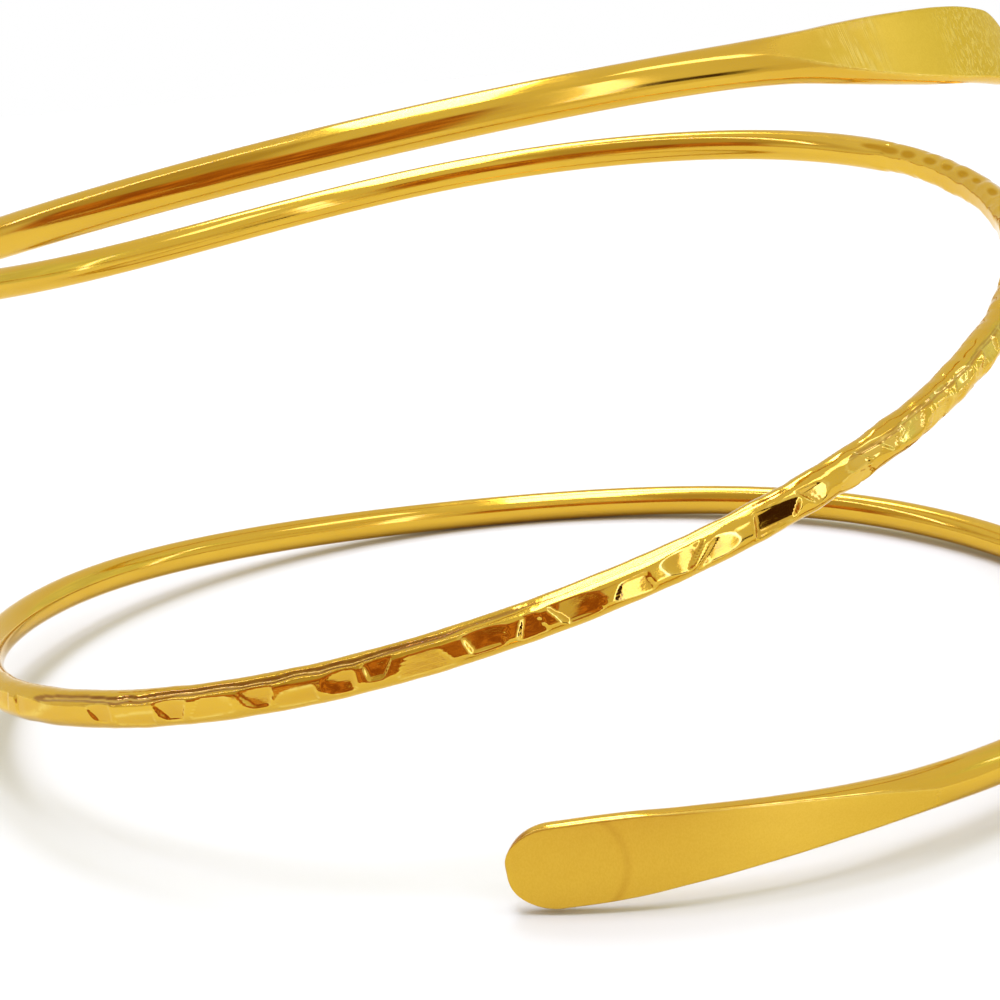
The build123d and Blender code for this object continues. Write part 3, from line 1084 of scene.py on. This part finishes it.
# stand it as it rests, over the same spot as the CAD solid
tipRight = math.tan(math.radians(coil["restRoll"]))
tipFront = math.tan(math.radians(coil["restPitch"]))
restUp = Vector((tipRight, -tipFront, 1.0)).normalized()
restRight = Vector((1.0, 0.0, -tipRight)).normalized()
restBack = restUp.cross(restRight)
coilMesh.transform(Matrix((restRight, restBack, restUp)).to_4x4())
corners = np.empty(len(coilMesh.vertices) * 3)
coilMesh.vertices.foreach_get("co", corners)
corners = corners.reshape(-1, 3)
low = corners.min(axis=0)
high = corners.max(axis=0)
cadLow, cadHigh = (np.array(corner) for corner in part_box("coil_wire"))
shift = (cadLow + cadHigh) / 2 - (low + high) / 2
shift[2] = cadLow[2] - low[2]
coilMesh.transform(Matrix.Translation(Vector(shift)))
coilMesh.update()
triangles = sum(len(face.vertices) - 2 for face in coilMesh.polygons)
print(f"gold coil: {triangles} triangles, {np.round((high - low) / mm, 2)} mm")

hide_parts("coil_wire")
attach(goldCoil, "root")

# The floor is a pale table top. Its near edge is just in front of the coil, as in a small
# product studio, so the gold also reflects the dim side of the room under the camera.
table = {
    "left": -0.42,  # metres
    "right": 0.42,
    "near": -0.075,
    "far": 0.45,
    "colour": (0.72, 0.71, 0.52, 1.0),
    "roughness": 0.9,
    "shine": 0.2,
}
floorMesh = bpy.data.meshes.new("floor")
floorMesh.from_pydata(
    [
        (table["left"], table["near"], 0), (table["right"], table["near"], 0),
        (table["right"], table["far"], 0), (table["left"], table["far"], 0),
    ],
    [], [(0, 1, 2, 3)],
)
floor = bpy.data.objects.new("floor", floorMesh)
bpy.context.collection.objects.link(floor)
floorMaterial = bpy.data.materials.new("paleFloor")
floorMaterial.use_nodes = True
floorShader = floorMaterial.node_tree.nodes["Principled BSDF"]
floorShader.inputs["Base Color"].default_value = table["colour"]
floorShader.inputs["Roughness"].default_value = table["roughness"]
floorShader.inputs["Specular IOR Level"].default_value = table["shine"]
floorMesh.materials.append(floorMaterial)
floor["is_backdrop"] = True
print("floor: a pale table top")

# The room: pale walls with dim and warm parts that the gold shows as streaks
room = {
    "walls": (0.92, 0.92, 0.92),
    "below": (0.90, 0.88, 0.82),
    "seenByCamera": (1.0, 1.0, 1.0),
    "horizon": (-4.0, 4.0),  # degrees up, where the walls change to what is below
    "grainSize": 7.0,
    "grainSpan": (0.44, 0.64),
    "parts": [
        # side (degrees right of the camera), height, half width, half height, softness, two colours
        (-72, 38, 40, 24, 12, (0.60, 0.52, 0.40), (0.66, 0.58, 0.46)),
        (-36, -9, 48, 31, 9, (0.38, 0.13, 0.05), (0.80, 0.36, 0.14)),
        (-56, -6, 18, 1.2, 1.5, (1.15, 1.0, 0.8), (0.9, 0.6, 0.3)),
        (44, -12, 9, 7, 3, (0.05, 0.018, 0.008), (0.08, 0.03, 0.01)),
        (118, 15, 32, 26, 4, (0.82, 0.92, 0.85), (0.96, 1.08, 1.0)),
    ],
}


def makeRoom():
    world = bpy.data.worlds.new("room")
    bpy.context.scene.world = world
    world.use_nodes = True
    tree = world.node_tree

    def tint(colour):
        return (*colour, 1.0)

    def within(angle, middle, half, softness):
        # 1 inside a part of the room and 0 outside, with a soft edge
        away = calc(tree, "WRAP", less(tree, angle, float(middle)), 180.0, -180.0)
        away = calc(tree, "ABSOLUTE", away)
        return fade(tree, away, half - softness / 2, half + softness / 2, 1.0, 0.0)

    direction = addNode(tree, "ShaderNodeTexCoord").outputs["Generated"]
    parts = split(tree, calcVector(tree, "NORMALIZE", direction))
    side = calc(tree, "DEGREES", calc(tree, "ARCTAN2", parts["X"], negative(tree, parts["Y"])))
    height = calc(tree, "DEGREES", calc(tree, "ARCSINE", parts["Z"]))
    below = fade(tree, height, *room["horizon"], 1.0, 0.0)
    shade = mixColour(tree, below, tint(room["walls"]), tint(room["below"]))
    grain = addNode(tree, "ShaderNodeTexNoise", {
        "Vector": direction, "Scale": room["grainSize"], "Detail": 2.0, "Roughness": 0.5,
    })
    uneven = fade(tree, grain.outputs[0], *room["grainSpan"])
    for partSide, partHeight, halfWidth, halfHeight, softness, tone, lighterTone in room["parts"]:
        inPart = product(
            tree, within(side, partSide, halfWidth, softness),
            within(height, partHeight, halfHeight, softness),
        )
        partShade = mixColour(tree, uneven, tint(tone), tint(lighterTone))
        shade = mixColour(tree, inPart, shade, partShade)
    seen = addNode(tree, "ShaderNodeLightPath").outputs["Is Camera Ray"]
    shade = mixColour(tree, seen, shade, tint(room["seenByCamera"]))
    feed(tree, tree.nodes["Background"].inputs["Color"], shade)
    print(f"room: {len(room['parts'])} dim and warm parts")


makeRoom()

# Lamps: place and aim in metres, width, length, watts, colour
lamps = {
    "softboxAbove": ((-0.085, 0.19, 0.80), (-0.085, 0.19, 0.0), 0.25, 0.98, 6.2, (0.93, 1.0, 1.7)),
    "softboxRight": ((0.445, -0.13, 0.80), (0.445, -0.13, 0.0), 0.35, 0.20, 0.55, (0.94, 1.0, 2.2)),
    "stripRight": ((0.41, -0.69, 0.20), (0.0, 0.0, 0.20), 0.11, 1.0, 0.72, (0.93, 1.0, 2.7)),
    "stripSide": ((0.80, 0.07, 0.25), (0.0, 0.0, 0.25), 0.04, 0.7, 0.26, (0.93, 1.0, 2.4)),
    "tubeLeft": ((-0.60, 0.14, 0.655), (0.0, 0.0, 0.03), 0.025, 0.75, 0.5, (0.95, 1.0, 2.4)),
}
for name, (place, aim, width, length, power, tone) in lamps.items():
    data = bpy.data.lights.new(name, "AREA")
    data.shape = "RECTANGLE"
    data.size = width
    data.size_y = length
    data.energy = power
    data.color = tone
    lamp = bpy.data.objects.new(name, data)
    lamp.location = place
    lamp.rotation_euler = (Vector(aim) - Vector(place)).to_track_quat("-Z", "Y").to_euler()
    lamp.visible_camera = False
    bpy.context.collection.objects.link(lamp)
print(f"lamps: {len(lamps)}")

# The camera, from the same fit as the coil's bends
view = {
    "place": (-6.015, -170.637, 59.637),  # mm
    "lookDown": 15.472,                   # degrees
    "turnRight": 1.624,
    "roll": -4.790,
    "lens": 86.57,
    "sensor": 36.0,
    "nearest": 5.0,
}
cameraData = bpy.data.cameras.new("camera")
cameraData.lens = view["lens"]
cameraData.sensor_width = view["sensor"]
cameraData.clip_start = view["nearest"] * mm
camera = bpy.data.objects.new("camera", cameraData)
camera.location = Vector(view["place"]) * mm
camera.rotation_euler = (
    Matrix.Rotation(math.radians(-view["turnRight"]), 3, "Z")
    @ Matrix.Rotation(math.radians(90 - view["lookDown"]), 3, "X")
    @ Matrix.Rotation(math.radians(view["roll"]), 3, "Z")
).to_euler()
bpy.context.collection.objects.link(camera)
bpy.context.scene.camera = camera
bpy.context.scene.view_settings.view_transform = "Standard"
print(f"camera: {view['lens']} mm lens, looking {view['lookDown']} degrees down")

bpy.context.view_layer.update()
visualBounds = [list(corner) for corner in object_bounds()]
for name, bounds in (("cad", cadBounds), ("visual", visualBounds)):
    print(f"{name} box in mm:", np.round(np.array(bounds) / mm, 2).tolist())
